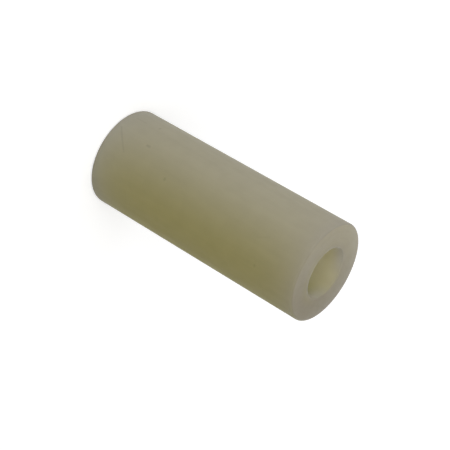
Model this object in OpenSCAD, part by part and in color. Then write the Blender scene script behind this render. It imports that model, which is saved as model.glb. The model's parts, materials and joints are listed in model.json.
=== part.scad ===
// Spacer ring: a plain round sleeve with a bore right through it, cut square at both ends.
// The origin is the centre of the lower end face and +Z runs along the bore. Millimetres.

/* [Sleeve] */
// Outside diameter of the sleeve
outer_d = 20; // [14:0.5:40]
// Diameter of the through bore
bore_d = 10.2; // [4:0.1:16]
// Length from one end face to the other
sleeve_len = 50; // [10:0.5:120]

/* [Edges] */
// Radius that rounds the outer rim of each end face
rim_r = 0.5; // [0.2:0.1:1.5]
// Radius that rounds each mouth of the bore
mouth_r = 0.3; // [0.1:0.05:1]

/* [Hidden] */
$fn = 128;
wall = (outer_d - bore_d) / 2; // thickness of the sleeve's wall
cut_over = 1;                  // how far a cutter runs past the edge that it trims

// What a quarter round of radius r takes off the corner at the origin of a part lying in the +X +Y quadrant.
module corner_cutter(r) {
    difference() {
        translate([-cut_over, -cut_over]) square(r + cut_over);
        translate([r, r]) circle(r = r);
    }
}

// The wall's half-section at one end face: the outer rim at x = wall and the bore's mouth at x = 0.
module end_edges() {
    translate([wall, 0]) mirror([1, 0]) corner_cutter(rim_r);
    corner_cutter(mouth_r);
}

// Half-section of the wall, from the bore outwards, with all four of its edges rounded.
module wall_section() {
    difference() {
        square([wall, sleeve_len]);
        end_edges();
        translate([0, sleeve_len]) mirror([0, 1]) end_edges();
    }
}

module spacer_ring() {
    color([0.60, 0.57, 0.46])
        rotate_extrude()
            translate([bore_d / 2, 0])
                wall_section();
}

spacer_ring();
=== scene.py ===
"""A spacer ring: one plain sleeve of translucent natural nylon, standing on its end.

Blender's units are metres. The sleeve's axis is +Z and its lower end face lies on the floor.
"""

import json
from math import cos, pi, radians, sin

import bpy
from mathutils import Matrix, Vector


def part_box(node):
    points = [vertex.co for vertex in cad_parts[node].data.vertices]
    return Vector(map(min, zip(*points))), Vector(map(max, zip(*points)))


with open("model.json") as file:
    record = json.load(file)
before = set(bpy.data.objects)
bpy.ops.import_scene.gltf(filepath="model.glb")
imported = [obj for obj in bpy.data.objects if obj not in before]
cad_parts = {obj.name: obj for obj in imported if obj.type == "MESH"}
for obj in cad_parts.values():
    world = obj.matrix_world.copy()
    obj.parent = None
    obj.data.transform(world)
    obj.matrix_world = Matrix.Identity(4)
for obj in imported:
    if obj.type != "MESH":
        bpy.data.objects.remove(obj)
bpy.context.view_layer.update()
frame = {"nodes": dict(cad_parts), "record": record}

MM = 0.001
UP = Vector((0, 0, 1))
sleeve = frame["nodes"]["spacer_ring"]
low_corner, high_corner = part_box("spacer_ring")
LENGTH = high_corner.z - low_corner.z
OUTER_RADIUS = (high_corner.x - low_corner.x) / 2
bore_mount = next(mount for mount in frame["record"]["mounts"] if mount["name"] == "bore")
BORE_RADIUS = bore_mount["dims"]["r_mm"] * MM

# ---- The camera: the photograph's own view, in pixels of its square frame ----
FRAME_PX = 450
FOCAL_PX = 1450
NEAR_CENTRE_PX = (325.9, 273.1)  # the centre of the upper end face
NEAR_DEPTH = 262.4 * MM  # from the lens to that centre, along the view
CAMERA_AZIMUTH = radians(-20)  # which side of the sleeve faces the camera, from +X
VIEW_ELEVATION = radians(28.9)  # how far the camera looks down on the end face
AXIS_DROP = radians(30.47)  # the bore's axis falls this far below the picture's horizontal
SENSOR_MM = 36
NEAREST_SEEN = 10 * MM


def around(azimuth):
    """The level unit vector at an angle about the sleeve's axis, from +X."""
    return Vector((cos(azimuth), sin(azimuth), 0))


def view_axes():
    """The camera's right, up and back directions. Its roll lays the standing sleeve on its side."""
    level_back = around(CAMERA_AZIMUTH)
    level_right = around(CAMERA_AZIMUTH + radians(90))
    back = cos(VIEW_ELEVATION) * level_back + sin(VIEW_ELEVATION) * UP
    level_up = -sin(VIEW_ELEVATION) * level_back + cos(VIEW_ELEVATION) * UP
    roll = radians(90) + AXIS_DROP
    right = cos(roll) * level_right + sin(roll) * level_up
    up = cos(roll) * level_up - sin(roll) * level_right
    return right, up, back


def make_camera():
    right, up, back = view_axes()
    pixel = NEAR_DEPTH / FOCAL_PX
    across = (NEAR_CENTRE_PX[0] - FRAME_PX / 2) * pixel
    down = (NEAR_CENTRE_PX[1] - FRAME_PX / 2) * pixel
    near_centre = Vector((0, 0, high_corner.z))
    place = near_centre - across * right + down * up + NEAR_DEPTH * back
    data = bpy.data.cameras.new("photo_view")
    data.sensor_width = SENSOR_MM
    data.lens = SENSOR_MM * FOCAL_PX / FRAME_PX
    data.clip_start = NEAREST_SEEN
    camera = bpy.data.objects.new("photo_view", data)
    turn = Matrix((right, up, back)).transposed().to_4x4()
    camera.matrix_world = Matrix.Translation(place) @ turn
    bpy.context.scene.collection.objects.link(camera)
    bpy.context.scene.camera = camera


# ---- Short ways to add shader nodes ----
NOISE_ROUGHNESS = 0.55


def add(tree, kind, inputs=None, **settings):
    """Adds a node. Each input is a plain value or another node's output."""
    node = tree.nodes.new(kind)
    for name, value in settings.items():
        setattr(node, name, value)
    for key, value in (inputs or {}).items():
        if isinstance(value, bpy.types.NodeSocket):
            tree.links.new(value, node.inputs[key])
        else:
            node.inputs[key].default_value = value
    return node


def calc(tree, operation, first, second=0.0):
    return add(tree, "ShaderNodeMath", {0: first, 1: second}, operation=operation).outputs[0]


def vector_calc(tree, operation, inputs, output="Vector"):
    return add(tree, "ShaderNodeVectorMath", inputs, operation=operation).outputs[output]


def fade(tree, value, start, end, at_start=0.0, at_end=1.0):
    """Goes smoothly from at_start to at_end as value goes from start to end."""
    inputs = {"Value": value, "From Min": start, "From Max": end}
    inputs.update({"To Min": at_start, "To Max": at_end})
    return add(tree, "ShaderNodeMapRange", inputs, interpolation_type="SMOOTHSTEP").outputs[0]


def noise(tree, vector, size, detail=2, stretch=(1, 1, 1)):
    """Cloudy noise about 0.5, with features of the given size, drawn out along an axis by stretch."""
    scale = tuple(1 / (size * s) for s in stretch)
    placed = vector_calc(tree, "MULTIPLY", {0: vector, 1: scale})
    inputs = {"Vector": placed, "Scale": 1, "Detail": detail, "Roughness": NOISE_ROUGHNESS}
    return add(tree, "ShaderNodeTexNoise", inputs).outputs["Fac"]


def towards(tree, level_place, azimuth):
    """How far a spot lies towards one side: 1 on the outside there, 0 on the axis, -1 opposite."""
    step = around(azimuth) / OUTER_RADIUS
    return vector_calc(tree, "DOT_PRODUCT", {0: level_place, 1: step}, "Value")


def blend_colour(tree, factor, first, second):
    """Goes from the first colour to the second as factor goes from 0 to 1."""
    node = add(tree, "ShaderNodeMix", data_type="RGBA")
    for key, value in (("Factor_Float", factor), ("A_Color", first), ("B_Color", second)):
        socket = next(s for s in node.inputs if s.identifier == key)
        if isinstance(value, bpy.types.NodeSocket):
            tree.links.new(value, socket)
        else:
            socket.default_value = (*value, 1)
    return next(s for s in node.outputs if s.identifier == "Result_Color")


# ---- Natural nylon ----
# The plastic is a translucent straw yellow. It is clearest on one side and goes milky towards the
# other; this change round the side is partly the plastic's own and partly painted light and shade,
# whiter on the lit side and more yellow on the shaded side. Both ends carry painted light, a lighter
# and whiter band. The end faces, the bore and the bore's lips carry painted light and shade too. A
# span says over which stretch towards a side the change happens, in the measure of towards().
# partly the plastic's own, partly painted light and shade: whiter on the lit side, more yellow on the
# shaded side
CLEAR_SHADED_SIDE = (0.242, 0.215, 0.088)
MILKY_LIT_SIDE = (0.299, 0.277, 0.205)
MILKY_LIT_AZIMUTH = radians(-100)
MILKY_LIT_SPAN = (-0.5, 1.1)
# painted light: a lighter, whiter band near the upper end
TOP_PAINTED_LIGHT = (0.262, 0.240, 0.212)
TOP_LIGHT_MOST = 0.5
TOP_LIGHT_REACH = 4 * MM
# painted light: a lighter band near the lower end, making up for the light the floor takes away there
LOW_PAINTED_LIGHT = (0.345, 0.328, 0.272)
LOW_LIGHT_MOST = 0.7
LOW_LIGHT_REACH = 4 * MM
# painted light and shade on the end faces, with a little of the milky side's own whiteness: lighter
# towards one side, darker towards the other
FACE_CLEAR_SHADED = (0.211, 0.184, 0.131)
FACE_MILKY_LIT = (0.344, 0.311, 0.226)
FACE_LIT_AZIMUTH = radians(-80)
FACE_LIT_SPAN = (-1.2, 1.2)
HALO = (0.282, 0.252, 0.130)  # the face close to the bore, most on one side
HALO_AZIMUTH = radians(0)
HALO_SPAN = (-0.2, 0.5)
HALO_MOST = 0.55
HALO_REACH = 2.5 * MM
# partly the plastic's own milkiness, partly painted light and shade: the bore is lighter on one side
# and darker on the other
BORE_CLEAR_SHADED = (0.213, 0.190, 0.072)
BORE_MILKY_LIT = (0.316, 0.270, 0.140)
BORE_LIT_AZIMUTH = radians(-140)
BORE_LIT_SPAN = (-0.5, 0.5)
# painted light: the bore is lighter and whiter near its ends, where light comes in
LIP_LIGHT = (0.252, 0.228, 0.190)
LIP_LIGHT_AZIMUTH = radians(-120)  # the painted light on the bore's lips is strongest on this side and opposite it
LIP_LIGHT_SPAN = (0.05, 0.45)
LIP_LIGHT_LEAST = 0.2
LIP_LIGHT_REACH = 3.5 * MM
MOUTH_INSIDE = 1.3 * MM  # how deep in the bore its own finish is reached
MOUTH_OUTSIDE = 1.2 * MM  # and how far out on the face it is gone

# Where one surface gives way to the next.
FACE_NORMAL = (0.8, 1.0)  # how upright the normal is, from the wall to an end face
INNER_WALL = (0.7 * OUTER_RADIUS, 0.8 * OUTER_RADIUS)  # the bore's finish ends in here
OUTER_WALL = (0.9 * OUTER_RADIUS, 0.94 * OUTER_RADIUS)  # and the marks begin in here

# Uneven colour: how much, as a share of the colour either way, and how wide. What is stretched is
# that many times as long as it is wide, along the sleeve.
CLOUDS = 0.025
CLOUD_SIZE = 3 * MM
STREAKS = 0.014
STREAK_WIDTH = 1.2 * MM
STREAK_STRETCH = 16
RINGS = 0.015
RING_WIDTH = 0.5 * MM
RING_DRIFT = 0.2 * MM  # how far the rings' noise moves on for each radian round the face
CLOUD_RANGE = (0.2, 0.8)  # the part of the noise that is used
LINE_RANGE = (0.25, 0.75)

# Relief, from hollow to crest, and its widths.
DRAWN_LINES = 0.002 * MM
DRAWN_WIDTH = 0.35 * MM
DRAWN_STRETCH = 14
TURNED_RINGS = 0.002 * MM
TURNED_WIDTH = 0.3 * MM
GRAIN = 0.0015 * MM
GRAIN_SIZE = 0.25 * MM

# Gloss. The plastic hardly mirrors, and it is duller in some patches than in others.
MIRRORING = 0.08
DULLEST = 0.65
SHINIEST = 0.5
PATCH_WIDTH = 1.2 * MM
PATCH_STRETCH = 4

# Marks on the outside. Each goes from one place to another, both given as azimuth in degrees and
# height in millimetres. It fades out to each side over its reach, in millimetres, and the last
# number is how much it darkens, as a share of the colour. Below 0 it lightens.
MARKS = (
    # a long scratch and a short one
    (-46, 1.5, -23, 5.5, 0.3, 0.1),
    (-68, 2, -68, 4.5, 0.25, 0.06),
    # four specks
    (-42, 9, -42, 9.5, 0.45, 0.18),
    (-72, 7.5, -71, 7.5, 0.4, 0.14),
    (-20, 16.5, -19, 16.5, 0.45, 0.16),
    (13, 41, 12, 41, 0.4, 0.12),
    # a short faint line
    (-16, 39.5, -22, 41.5, 0.4, 0.04),
    # broad faint streaks, two darker and two lighter
    (-27, 16, -18, 39, 1, 0.02),
    (-63, 11, -65, 25, 1, 0.02),
    (-40, 28, -43, 48, 1, -0.025),
    (-16, 23, -4, 44, 1, -0.02),
)

# How light spreads inside the plastic. The share goes in under the surface, and the reach is in
# the shader's own measure, about twelve times the mean free path.
SKIN_SHARE = 0.15
BORE_SHARE = 0.6
LIGHT_REACH = 40 * MM
LIGHT_SPREAD = (1, 1, 0.85)  # the share of that reach that red, green and blue have


def mark(tree, unrolled, start_azimuth, start_height, end_azimuth, end_height, reach, darkness):
    """How much one mark darkens a spot. unrolled is the outside as a flat sheet, in metres."""
    start = Vector((radians(start_azimuth) * OUTER_RADIUS, start_height * MM, 0))
    end = Vector((radians(end_azimuth) * OUTER_RADIUS, end_height * MM, 0))
    way = end - start
    step = way / way.length_squared
    from_start = vector_calc(tree, "SUBTRACT", {0: unrolled, 1: start})
    along = vector_calc(tree, "DOT_PRODUCT", {0: from_start, 1: step}, "Value")
    along = add(tree, "ShaderNodeClamp", {"Value": along}).outputs[0]
    nearest = vector_calc(tree, "SCALE", {0: way, "Scale": along})
    away = vector_calc(tree, "DISTANCE", {0: from_start, 1: nearest}, "Value")
    return fade(tree, away, 0, reach * MM, darkness, 0)


def nylon():
    material = bpy.data.materials.new("natural_nylon")
    material.use_nodes = True
    tree = material.node_tree
    shader = tree.nodes["Principled BSDF"]
    coords = tree.nodes.new("ShaderNodeTexCoord")
    place = coords.outputs["Object"]
    x, y, height = add(tree, "ShaderNodeSeparateXYZ", {0: place}).outputs
    level_place = add(tree, "ShaderNodeCombineXYZ", {0: x, 1: y}).outputs[0]
    radius = vector_calc(tree, "LENGTH", {0: level_place}, "Value")
    azimuth = calc(tree, "ARCTAN2", y, x)

    # which surface a spot is on, by its normal and its distance from the axis
    normal = add(tree, "ShaderNodeSeparateXYZ", {0: coords.outputs["Normal"]}).outputs
    on_face = fade(tree, calc(tree, "ABSOLUTE", normal[2]), *FACE_NORMAL)
    on_wall = fade(tree, on_face, 0, 1, 1, 0)
    from_top = calc(tree, "SUBTRACT", LENGTH, height)
    from_end = calc(tree, "MINIMUM", height, from_top)
    past_mouth = calc(tree, "SUBTRACT", calc(tree, "SUBTRACT", radius, BORE_RADIUS), from_end)
    within_mouth = fade(tree, past_mouth, -MOUTH_INSIDE, MOUTH_OUTSIDE, 1, 0)
    near_axis = fade(tree, radius, *INNER_WALL, 1, 0)
    in_bore = calc(tree, "MULTIPLY", within_mouth, near_axis)

    # the outside: clear to milky round the side, partly painted light and shade, and painted light at
    # both ends
    milky_and_lit = fade(tree, towards(tree, level_place, MILKY_LIT_AZIMUTH), *MILKY_LIT_SPAN)
    colour = blend_colour(tree, milky_and_lit, CLEAR_SHADED_SIDE, MILKY_LIT_SIDE)
    top_light = calc(tree, "EXPONENT", calc(tree, "DIVIDE", from_top, -TOP_LIGHT_REACH))
    top_light = calc(tree, "MULTIPLY", top_light, TOP_LIGHT_MOST)
    colour = blend_colour(tree, top_light, colour, TOP_PAINTED_LIGHT)
    low_light = calc(tree, "EXPONENT", calc(tree, "DIVIDE", height, -LOW_LIGHT_REACH))
    low_light = calc(tree, "MULTIPLY", low_light, LOW_LIGHT_MOST)
    colour = blend_colour(tree, low_light, colour, LOW_PAINTED_LIGHT)

    # the end faces and the bore, with painted light and shade on both, and painted light on the
    # bore's lips
    face_lit = fade(tree, towards(tree, level_place, FACE_LIT_AZIMUTH), *FACE_LIT_SPAN)
    face_colour = blend_colour(tree, face_lit, FACE_CLEAR_SHADED, FACE_MILKY_LIT)
    halo = fade(tree, radius, BORE_RADIUS, BORE_RADIUS + HALO_REACH, HALO_MOST, 0)
    halo_side = fade(tree, towards(tree, level_place, HALO_AZIMUTH), *HALO_SPAN)
    halo = calc(tree, "MULTIPLY", halo, halo_side)
    face_colour = blend_colour(tree, halo, face_colour, HALO)
    colour = blend_colour(tree, on_face, colour, face_colour)
    bore_lit = fade(tree, towards(tree, level_place, BORE_LIT_AZIMUTH), *BORE_LIT_SPAN)
    bore_colour = blend_colour(tree, bore_lit, BORE_CLEAR_SHADED, BORE_MILKY_LIT)
    sideways = calc(tree, "ABSOLUTE", towards(tree, level_place, LIP_LIGHT_AZIMUTH))
    lip_light_side = fade(tree, sideways, *LIP_LIGHT_SPAN, LIP_LIGHT_LEAST, 1)
    lip_light = calc(tree, "MULTIPLY", fade(tree, from_end, 0, LIP_LIGHT_REACH, 1, 0), lip_light_side)
    bore_colour = blend_colour(tree, lip_light, bore_colour, LIP_LIGHT)
    colour = blend_colour(tree, in_bore, colour, bore_colour)

    # clouds all over, streaks along the wall, rings on the faces, and the marks
    cloud_noise = noise(tree, place, CLOUD_SIZE, detail=3)
    clouds = fade(tree, cloud_noise, *CLOUD_RANGE, -CLOUDS, CLOUDS)
    line_noise = noise(tree, place, STREAK_WIDTH, stretch=(1, 1, STREAK_STRETCH))
    streaks = fade(tree, line_noise, *LINE_RANGE, -STREAKS, STREAKS)
    drift = calc(tree, "MULTIPLY", azimuth, RING_DRIFT)
    ring_place = add(tree, "ShaderNodeCombineXYZ", {0: radius, 1: drift}).outputs[0]
    ring_noise = noise(tree, ring_place, RING_WIDTH)
    rings = fade(tree, ring_noise, *LINE_RANGE, -RINGS, RINGS)
    sweep = calc(tree, "MULTIPLY", azimuth, OUTER_RADIUS)
    unrolled = add(tree, "ShaderNodeCombineXYZ", {0: sweep, 1: height}).outputs[0]
    darker = mark(tree, unrolled, *MARKS[0])
    for one in MARKS[1:]:
        darker = calc(tree, "ADD", darker, mark(tree, unrolled, *one))
    outside = calc(tree, "MULTIPLY", fade(tree, radius, *OUTER_WALL), on_wall)
    darker = calc(tree, "MULTIPLY", darker, outside)
    uneven = calc(tree, "ADD", clouds, calc(tree, "MULTIPLY", streaks, on_wall))
    uneven = calc(tree, "ADD", uneven, calc(tree, "MULTIPLY", rings, on_face))
    gain = calc(tree, "ADD", 1, calc(tree, "SUBTRACT", uneven, darker))
    colour = vector_calc(tree, "SCALE", {0: colour, "Scale": gain})

    # fine relief and uneven gloss
    fine_lines = noise(tree, place, DRAWN_WIDTH, stretch=(1, 1, DRAWN_STRETCH))
    fine_lines = calc(tree, "MULTIPLY", fine_lines, DRAWN_LINES)
    fine_rings = noise(tree, ring_place, TURNED_WIDTH)
    fine_rings = calc(tree, "MULTIPLY", fine_rings, TURNED_RINGS)
    either = {0: on_face, 2: fine_lines, 3: fine_rings}
    relief = add(tree, "ShaderNodeMix", either, data_type="FLOAT").outputs[0]
    grain = calc(tree, "MULTIPLY", noise(tree, place, GRAIN_SIZE), GRAIN)
    relief = calc(tree, "ADD", grain, relief)
    bump = add(tree, "ShaderNodeBump", {"Height": relief, "Distance": 1}).outputs[0]
    patches = noise(tree, place, PATCH_WIDTH, detail=3, stretch=(1, 1, PATCH_STRETCH))
    roughness = fade(tree, patches, *LINE_RANGE, SHINIEST, DULLEST)
    light_share = fade(tree, in_bore, 0, 1, SKIN_SHARE, BORE_SHARE)

    tree.links.new(colour, shader.inputs["Base Color"])
    tree.links.new(roughness, shader.inputs["Roughness"])
    tree.links.new(bump, shader.inputs["Normal"])
    tree.links.new(light_share, shader.inputs["Subsurface Weight"])
    shader.inputs["Specular IOR Level"].default_value = MIRRORING
    shader.inputs["Subsurface Radius"].default_value = LIGHT_SPREAD
    shader.inputs["Subsurface Scale"].default_value = LIGHT_REACH
    return material


# ---- Floor, background and light ----
WHITE = (1, 1, 1, 1)
FLOOR_COLOUR = (0.8, 0.8, 0.8, 1)
FLOOR_ROUGHNESS = 0.9
FLOOR_SIZE = 4
# The light that the floor gives off, to camera, glossy and transmission rays alone. It is least
# near the sleeve, where the sleeve's shadow falls. The two distances are from the sleeve's axis.
NEAR_GLOW = 0.42
FAR_GLOW = 0.7
NEAR_FLOOR = 0.15
FAR_FLOOR = 0.5
WORLD_LEVEL = 0.49  # the light from all round, where seen_directly() is 0; seen, the world is white
LAMP_DISTANCE = 0.5


def seen_directly(tree):
    """1 for a camera, glossy or transmission ray, and 0 for the light that falls on things."""
    path = tree.nodes.new("ShaderNodeLightPath").outputs
    seen = calc(tree, "MAXIMUM", path["Is Camera Ray"], path["Is Glossy Ray"])
    return calc(tree, "MAXIMUM", seen, path["Is Transmission Ray"])


def floor_finish():
    material = bpy.data.materials.new("floor")
    material.use_nodes = True
    tree = material.node_tree
    shader = tree.nodes["Principled BSDF"]
    shader.inputs["Base Color"].default_value = FLOOR_COLOUR
    shader.inputs["Roughness"].default_value = FLOOR_ROUGHNESS
    shader.inputs["Specular IOR Level"].default_value = 0
    place = tree.nodes.new("ShaderNodeTexCoord").outputs["Object"]
    distance = vector_calc(tree, "LENGTH", {0: place}, "Value")
    glow = fade(tree, distance, NEAR_FLOOR, FAR_FLOOR, NEAR_GLOW, FAR_GLOW)
    glow = calc(tree, "MULTIPLY", seen_directly(tree), glow)
    shader.inputs["Emission Color"].default_value = WHITE
    tree.links.new(glow, shader.inputs["Emission Strength"])
    return material


def make_floor():
    bpy.ops.mesh.primitive_plane_add(size=FLOOR_SIZE, location=(0, 0, 0))
    floor = bpy.context.object
    floor.name = "floor"
    floor.data.materials.append(floor_finish())


def make_world():
    world = bpy.data.worlds.new("studio")
    world.use_nodes = True
    tree = world.node_tree
    background = tree.nodes["Background"]
    background.inputs["Color"].default_value = WHITE
    level = fade(tree, seen_directly(tree), 0, 1, WORLD_LEVEL, 1)
    tree.links.new(level, background.inputs["Strength"])
    bpy.context.scene.world = world


def lamp(name, azimuth, elevation, width, level):
    """A soft round lamp. At level 1 it lights a white card that faces it to exactly white."""
    direction = cos(elevation) * around(azimuth) + sin(elevation) * UP
    data = bpy.data.lights.new(name, "AREA")
    data.shape = "DISK"
    data.size = width
    data.energy = level * pi**2 * (LAMP_DISTANCE**2 + (width / 2) ** 2)
    piece = bpy.data.objects.new(name, data)
    piece.location = UP * LENGTH / 2 + LAMP_DISTANCE * direction
    piece.rotation_mode = "QUATERNION"
    piece.rotation_quaternion = direction.to_track_quat("Z", "Y")
    bpy.context.scene.collection.objects.link(piece)


make_camera()
sleeve.data.materials.clear()
sleeve.data.materials.append(nylon())
make_floor()
make_world()
lamp("front", azimuth=radians(-25), elevation=radians(20), width=0.8, level=0.38)
lamp("side", azimuth=radians(-95), elevation=radians(10), width=0.3, level=0.235)
lamp("back", azimuth=radians(150), elevation=radians(8), width=0.3, level=0.22)
lamp("top", azimuth=radians(10), elevation=radians(60), width=0.8, level=0.155)
bpy.context.scene.view_settings.view_transform = "Standard"
